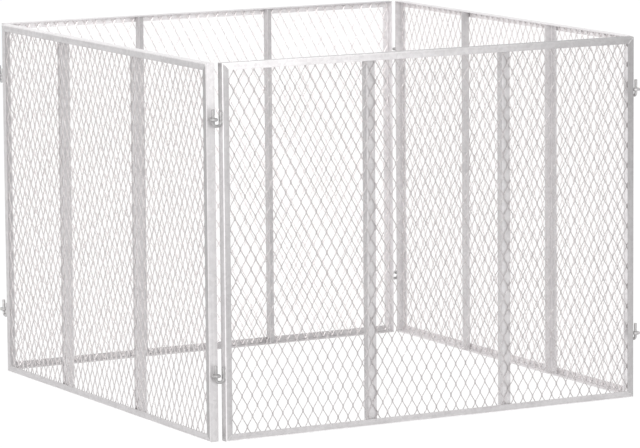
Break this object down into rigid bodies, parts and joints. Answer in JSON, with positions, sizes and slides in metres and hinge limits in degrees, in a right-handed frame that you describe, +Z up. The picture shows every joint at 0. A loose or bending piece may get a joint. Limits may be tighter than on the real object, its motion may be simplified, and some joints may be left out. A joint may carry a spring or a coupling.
{
  "type": "metal compost bin",
  "caption": "Square garden compost bin, open above and below, made of framed expanded-metal panels hinged at the corners by upright pins in welded eyes.",
  "frame": {"origin": "On the ground, in the middle of the bin's square plan", "axes": "+Z up, +X to the right along the front panel, -Y out of the front panel"},
  "size_m": [1.0746, 1.0746, 0.8],
  "materials": {
    "galvanised_angle": "hot-dip galvanised, satin, with faint zinc grain",
    "galvanised_mesh": "hot-dip galvanised, satin, brighter on the sheared faces",
    "galvanised_bar": "hot-dip galvanised, satin, darker at the welds"
  },
  "bodies": {
    "back_panel": {"back_top_rail": "galvanised_angle", "back_bottom_rail": "galvanised_angle", "back_hook_stile": "galvanised_angle", "back_eye_stile": "galvanised_angle", "back_hook_side_upright": "galvanised_angle", "back_eye_side_upright": "galvanised_angle", "back_mesh": "galvanised_mesh", "back_upper_hook": "galvanised_bar", "back_lower_hook": "galvanised_bar", "back_upper_eye": "galvanised_bar", "back_lower_eye": "galvanised_bar"},
    "left_panel": {"left_top_rail": "galvanised_angle", "left_bottom_rail": "galvanised_angle", "left_hook_stile": "galvanised_angle", "left_eye_stile": "galvanised_angle", "left_hook_side_upright": "galvanised_angle", "left_eye_side_upright": "galvanised_angle", "left_mesh": "galvanised_mesh", "left_upper_hook": "galvanised_bar", "left_lower_hook": "galvanised_bar", "left_upper_eye": "galvanised_bar", "left_lower_eye": "galvanised_bar"},
    "right_panel": {"right_top_rail": "galvanised_angle", "right_bottom_rail": "galvanised_angle", "right_hook_stile": "galvanised_angle", "right_eye_stile": "galvanised_angle", "right_hook_side_upright": "galvanised_angle", "right_eye_side_upright": "galvanised_angle", "right_mesh": "galvanised_mesh", "right_upper_hook": "galvanised_bar", "right_lower_hook": "galvanised_bar", "right_upper_eye": "galvanised_bar", "right_lower_eye": "galvanised_bar"},
    "front_panel": {"front_top_rail": "galvanised_angle", "front_bottom_rail": "galvanised_angle", "front_hook_stile": "galvanised_angle", "front_eye_stile": "galvanised_angle", "front_hook_side_upright": "galvanised_angle", "front_eye_side_upright": "galvanised_angle", "front_mesh": "galvanised_mesh", "front_upper_hook": "galvanised_bar", "front_lower_hook": "galvanised_bar", "front_upper_eye": "galvanised_bar", "front_lower_eye": "galvanised_bar"}
  },
  "joints": [
    {"name": "back_left_corner", "type": "hinge", "parent": "back_panel", "child": "left_panel", "pos_m": [-0.52677, 0.52002, 0], "axis": [0, 0, 1], "range_deg": [-27, 27]},
    {"name": "back_right_corner", "type": "hinge", "parent": "back_panel", "child": "right_panel", "pos_m": [0.52002, 0.52677, 0], "axis": [0, 0, 1], "range_deg": [-27, 27]},
    {"name": "front_left_corner", "type": "hinge", "parent": "left_panel", "child": "front_panel", "pos_m": [-0.52002, -0.52677, 0], "axis": [0, 0, 1], "range_deg": [-27, 27]}
  ],
  "couplings": [
    {"joint": "back_right_corner", "follows": "back_left_corner", "ratio": 1},
    {"joint": "front_left_corner", "follows": "back_left_corner", "ratio": -1}
  ]
}
